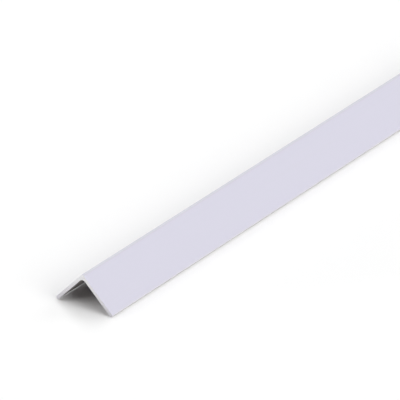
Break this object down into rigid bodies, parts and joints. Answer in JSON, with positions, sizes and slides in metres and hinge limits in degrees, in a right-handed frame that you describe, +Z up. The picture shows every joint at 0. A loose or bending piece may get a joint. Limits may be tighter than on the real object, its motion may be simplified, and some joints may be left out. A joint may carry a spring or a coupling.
{
  "type": "corner guard moulding",
  "caption": "White plastic corner guard: a straight right-angle strip with a rounded ridge and eased free edges, glued over an outside wall corner to protect it.",
  "frame": {"origin": "on the floor that the guard lies on, midway along its length, straight under the ridge", "axes": "+Z up through the ridge, +Y along the length, +X across the section; the two legs slope down to +X and -X"},
  "size_m": [0.0348, 1, 0.0182],
  "materials": {
    "white_plastic": "satin"
  },
  "bodies": {
    "root": {"corner_guard": "white_plastic"}
  },
  "joints": []
}
